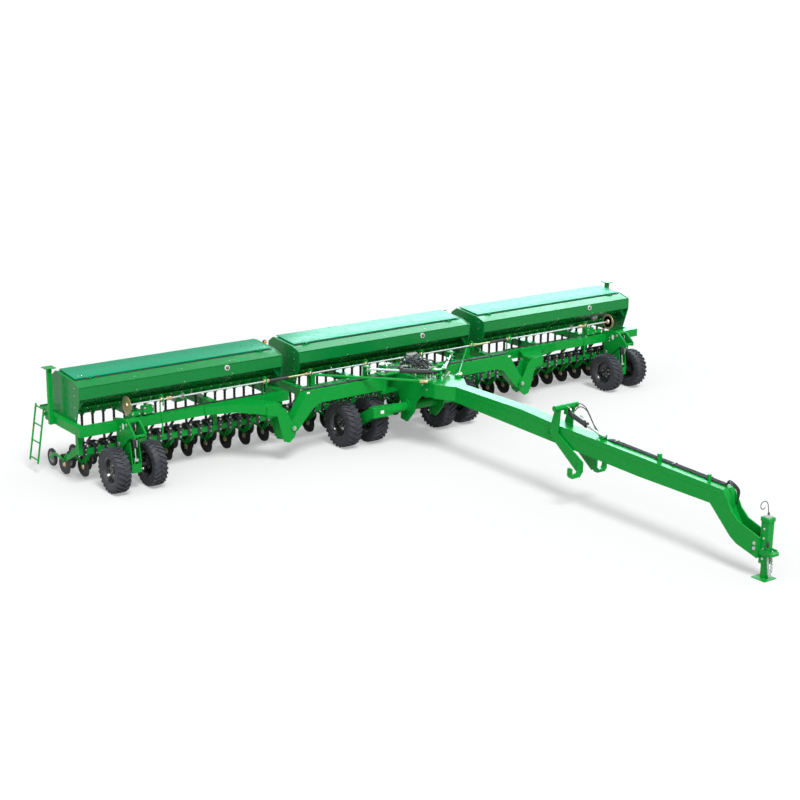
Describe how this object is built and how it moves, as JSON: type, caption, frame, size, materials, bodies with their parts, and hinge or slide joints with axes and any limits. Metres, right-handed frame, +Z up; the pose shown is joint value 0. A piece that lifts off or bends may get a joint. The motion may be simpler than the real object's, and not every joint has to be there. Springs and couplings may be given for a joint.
{
  "type": "three-section folding seed drill",
  "caption": "Towed folding grain drill with a long gooseneck tongue, seed boxes over rows of disc openers, and wings that fold forward.",
  "frame": {"origin": "on the floor, at the middle of the whole machine seen from above", "axes": "+X towards the left wing of the machine, +Y rearward, +Z up"},
  "size_m": [12.6202, 10.3702, 1.85],
  "materials": {
    "tyre_rubber": "matte",
    "rim_black": "gloss black",
    "chromed_rod": "polished",
    "ram_black": "gloss black",
    "opener_steel": "black with bright edges",
    "tread_plate": "dull dark",
    "lid_paint": "satin",
    "box_paint": "gloss",
    "frame_paint": "gloss"
  },
  "bodies": {
    "main_frame": {"centre_frame": "frame_paint", "centre_hub": "frame_paint", "centre_openers": "opener_steel", "centre_seed_box": "box_paint", "centre_seed_cups": "frame_paint", "centre_walkboard": "tread_plate", "draft_brace_left": "frame_paint", "draft_brace_right": "frame_paint", "hitch_clevis": "frame_paint", "tongue": "frame_paint"},
    "rockshaft": {"rockshaft": "frame_paint"},
    "centre_lid": {"centre_lid": "lid_paint"},
    "hook_carrier": {"hook_carrier": "frame_paint"},
    "hook_ram_barrel": {"hook_ram_barrel": "ram_black"},
    "hook_ram_rod": {"hook_ram_rod": "chromed_rod"},
    "jack_leg": {"jack_leg": "frame_paint"},
    "fold_arm_left": {"fold_arm_left": "frame_paint"},
    "wing_left": {"openers_left": "opener_steel", "parking_stand_left": "frame_paint", "seed_box_left": "box_paint", "seed_cups_left": "frame_paint", "walkboard_left": "tread_plate", "wing_frame_left": "frame_paint"},
    "wheel_leg_left": {"wheel_leg_left": "frame_paint"},
    "lid_left": {"lid_left": "lid_paint"},
    "wing_wheels_left": {"wing_left_axle": "rim_black", "wing_left_tyre_inner": "tyre_rubber", "wing_left_tyre_outer": "tyre_rubber"},
    "centre_wheels_left": {"centre_left_axle": "rim_black", "centre_left_tyre_inner": "tyre_rubber", "centre_left_tyre_outer": "tyre_rubber"},
    "fold_ram_left_barrel": {"fold_ram_left_barrel": "ram_black"},
    "fold_ram_left_rod": {"fold_ram_left_rod": "chromed_rod"},
    "leg_ram_left_barrel": {"leg_ram_left_barrel": "ram_black"},
    "leg_ram_left_rod": {"leg_ram_left_rod": "chromed_rod"},
    "fold_arm_right": {"fold_arm_right": "frame_paint"},
    "wing_right": {"ladder_right": "frame_paint", "openers_right": "opener_steel", "parking_stand_right": "frame_paint", "seed_box_right": "box_paint", "seed_cups_right": "frame_paint", "walkboard_right": "tread_plate", "wing_frame_right": "frame_paint"},
    "wheel_leg_right": {"wheel_leg_right": "frame_paint"},
    "lid_right": {"lid_right": "lid_paint"},
    "wing_wheels_right": {"wing_right_axle": "rim_black", "wing_right_tyre_inner": "tyre_rubber", "wing_right_tyre_outer": "tyre_rubber"},
    "centre_wheels_right": {"centre_right_axle": "rim_black", "centre_right_tyre_inner": "tyre_rubber", "centre_right_tyre_outer": "tyre_rubber"},
    "fold_ram_right_barrel": {"fold_ram_right_barrel": "ram_black"},
    "fold_ram_right_rod": {"fold_ram_right_rod": "chromed_rod"},
    "leg_ram_right_barrel": {"leg_ram_right_barrel": "ram_black"},
    "leg_ram_right_rod": {"leg_ram_right_rod": "chromed_rod"}
  },
  "joints": [
    {"name": "centre_lift", "type": "hinge", "parent": "main_frame", "child": "rockshaft", "pos_m": [0.03585, 2.79485, 0.68], "axis": [-1, 0, 0], "range_deg": [-8, 35]},
    {"name": "centre_lid_hinge", "type": "hinge", "parent": "main_frame", "child": "centre_lid", "pos_m": [0.03585, 4.04885, 1.74], "axis": [1, 0, 0], "range_deg": [0, 95]},
    {"name": "fold_left", "type": "hinge", "parent": "main_frame", "child": "fold_arm_left", "pos_m": [0.63585, 3.14485, 1.07], "axis": [0, 0, -1], "range_deg": [0, 90]},
    {"name": "flex_left", "type": "hinge", "parent": "fold_arm_left", "child": "wing_left", "pos_m": [2.57585, 3.14485, 0.6], "axis": [0, -1, 0], "range_deg": [-8, 8]},
    {"name": "leg_left", "type": "hinge", "parent": "wing_left", "child": "wheel_leg_left", "pos_m": [5.41935, 3.59485, 0.7], "axis": [1, 0, 0], "range_deg": [-25, 20]},
    {"name": "wing_wheels_left_spin", "type": "hinge", "parent": "wheel_leg_left", "child": "wing_wheels_left", "pos_m": [5.41935, 3.34485, 0.369], "axis": [1, 0, 0], "continuous": true},
    {"name": "centre_wheels_left_spin", "type": "hinge", "parent": "rockshaft", "child": "centre_wheels_left", "pos_m": [1.07635, 3.29685, 0.4], "axis": [1, 0, 0], "continuous": true},
    {"name": "lid_left_hinge", "type": "hinge", "parent": "wing_left", "child": "lid_left", "pos_m": [4.18435, 4.04885, 1.74], "axis": [1, 0, 0], "range_deg": [0, 95]},
    {"name": "fold_ram_left_swing", "type": "hinge", "parent": "main_frame", "child": "fold_ram_left_barrel", "pos_m": [0.12585, 2.31485, 1.36], "axis": [0, 0, -1], "range_deg": [0, 0.224]},
    {"name": "fold_ram_left_stroke", "type": "slide", "parent": "fold_ram_left_barrel", "child": "fold_ram_left_rod", "axis": [0.7113, 0.7029, 0], "range_m": [-0.46668, 0]},
    {"name": "leg_ram_left_swing", "type": "hinge", "parent": "wing_left", "child": "leg_ram_left_barrel", "pos_m": [5.41935, 3.32485, 1.08], "axis": [1, 0, 0], "range_deg": [-10.27, 8.22]},
    {"name": "leg_ram_left_stroke", "type": "slide", "parent": "leg_ram_left_barrel", "child": "leg_ram_left_rod", "axis": [0, -0.1366, -0.9906], "range_m": [-0.142, 0.1138]},
    {"name": "fold_right", "type": "hinge", "parent": "main_frame", "child": "fold_arm_right", "pos_m": [-0.56415, 3.14485, 1.07], "axis": [0, 0, 1], "range_deg": [0, 90]},
    {"name": "flex_right", "type": "hinge", "parent": "fold_arm_right", "child": "wing_right", "pos_m": [-2.50415, 3.14485, 0.6], "axis": [0, 1, 0], "range_deg": [-8, 8]},
    {"name": "leg_right", "type": "hinge", "parent": "wing_right", "child": "wheel_leg_right", "pos_m": [-5.34765, 3.59485, 0.7], "axis": [1, 0, 0], "range_deg": [-25, 20]},
    {"name": "wing_wheels_right_spin", "type": "hinge", "parent": "wheel_leg_right", "child": "wing_wheels_right", "pos_m": [-5.34765, 3.34485, 0.369], "axis": [1, 0, 0], "continuous": true},
    {"name": "centre_wheels_right_spin", "type": "hinge", "parent": "rockshaft", "child": "centre_wheels_right", "pos_m": [-1.00465, 3.29685, 0.4], "axis": [1, 0, 0], "continuous": true},
    {"name": "lid_right_hinge", "type": "hinge", "parent": "wing_right", "child": "lid_right", "pos_m": [-4.11265, 4.04885, 1.74], "axis": [1, 0, 0], "range_deg": [0, 95]},
    {"name": "fold_ram_right_swing", "type": "hinge", "parent": "main_frame", "child": "fold_ram_right_barrel", "pos_m": [-0.05415, 2.31485, 1.36], "axis": [0, 0, 1], "range_deg": [0, 0.224]},
    {"name": "fold_ram_right_stroke", "type": "slide", "parent": "fold_ram_right_barrel", "child": "fold_ram_right_rod", "axis": [-0.7113, 0.7029, 0], "range_m": [-0.46668, 0]},
    {"name": "leg_ram_right_swing", "type": "hinge", "parent": "wing_right", "child": "leg_ram_right_barrel", "pos_m": [-5.34765, 3.32485, 1.08], "axis": [1, 0, 0], "range_deg": [-10.27, 8.22]},
    {"name": "leg_ram_right_stroke", "type": "slide", "parent": "leg_ram_right_barrel", "child": "leg_ram_right_rod", "axis": [0, -0.1366, -0.9906], "range_m": [-0.142, 0.1138]},
    {"name": "hook_lift", "type": "hinge", "parent": "main_frame", "child": "hook_carrier", "pos_m": [0.03585, -0.75515, 1.05], "axis": [-1, 0, 0], "range_deg": [0, 30]},
    {"name": "hook_ram_swing", "type": "hinge", "parent": "hook_carrier", "child": "hook_ram_barrel", "pos_m": [0.03585, -0.90515, 1.42], "axis": [1, 0, 0], "range_deg": [0, 28.71]},
    {"name": "hook_ram_stroke", "type": "slide", "parent": "hook_ram_barrel", "child": "hook_ram_rod", "axis": [0, -0.9715, -0.237], "range_m": [0, 0.2061]},
    {"name": "jack_slide", "type": "slide", "parent": "main_frame", "child": "jack_leg", "axis": [0, 0, 1], "range_m": [-0.2, 0.2]}
  ],
  "couplings": [
    {"joint": "fold_ram_left_swing", "follows": "fold_left", "ratio": 0.002491},
    {"joint": "fold_ram_left_stroke", "follows": "fold_left", "m_per_rad": -0.2971},
    {"joint": "leg_ram_left_swing", "follows": "leg_left", "ratio": 0.41043},
    {"joint": "leg_ram_left_stroke", "follows": "leg_left", "m_per_rad": 0.32325},
    {"joint": "fold_ram_right_swing", "follows": "fold_right", "ratio": 0.002491},
    {"joint": "fold_ram_right_stroke", "follows": "fold_right", "m_per_rad": -0.2971},
    {"joint": "leg_ram_right_swing", "follows": "leg_right", "ratio": 0.41043},
    {"joint": "leg_ram_right_stroke", "follows": "leg_right", "m_per_rad": 0.32325},
    {"joint": "hook_ram_swing", "follows": "hook_lift", "ratio": 0.95652},
    {"joint": "hook_ram_stroke", "follows": "hook_lift", "m_per_rad": 0.39258}
  ]
}
